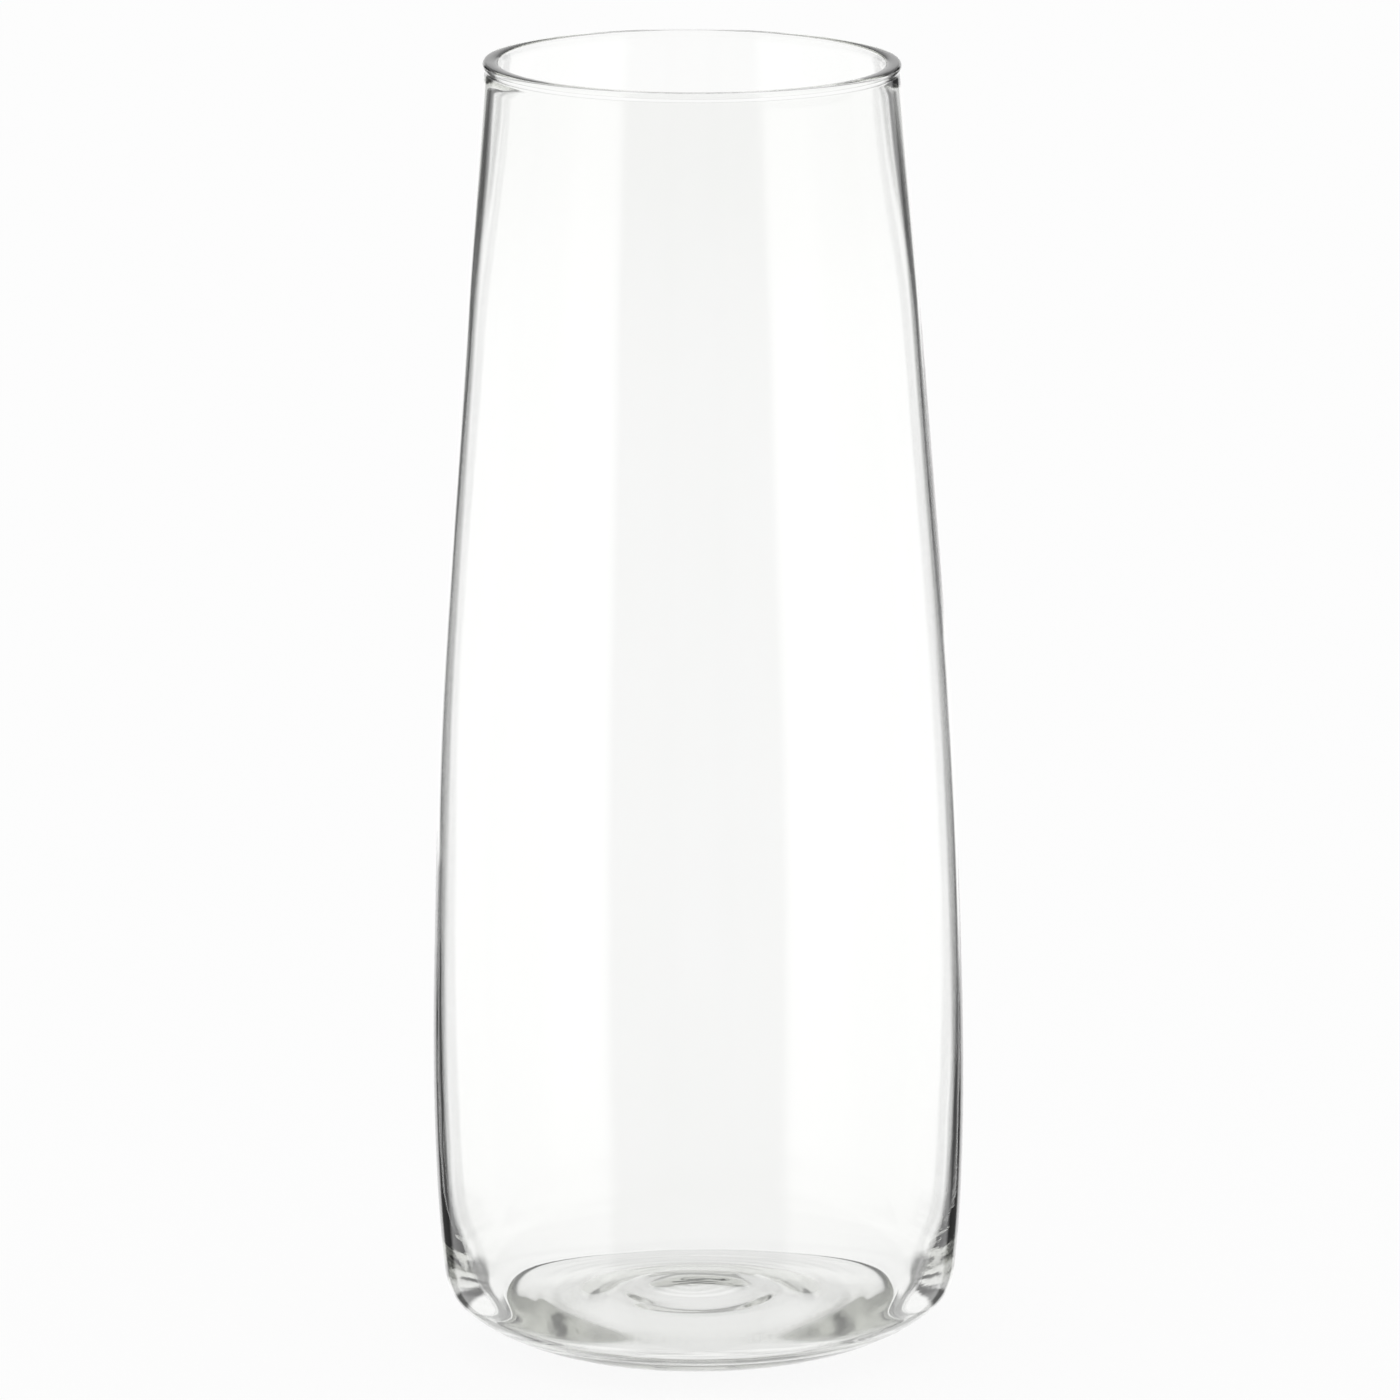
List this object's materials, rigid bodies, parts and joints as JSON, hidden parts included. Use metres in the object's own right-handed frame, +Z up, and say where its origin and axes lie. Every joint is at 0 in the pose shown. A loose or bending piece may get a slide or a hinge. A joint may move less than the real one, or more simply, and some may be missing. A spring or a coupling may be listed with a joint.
{
  "type": "flower vase",
  "caption": "Tall tapered clear glass flower vase with a fire-polished lip and a thick rounded base, for holding cut stems in water.",
  "frame": {"origin": "centre of the resting ring, on the plane the vase stands on", "axes": "+Z up along the axis of the vase, from the base to the mouth; +X and +Y are any two level directions, because the vase is round"},
  "size_m": [0.1844, 0.1844, 0.45],
  "materials": {
    "glass": "clear blown glass, fire-polished, with a faint green-grey tint in thick sections"
  },
  "bodies": {
    "root": {"vase_body": "glass"}
  },
  "joints": []
}
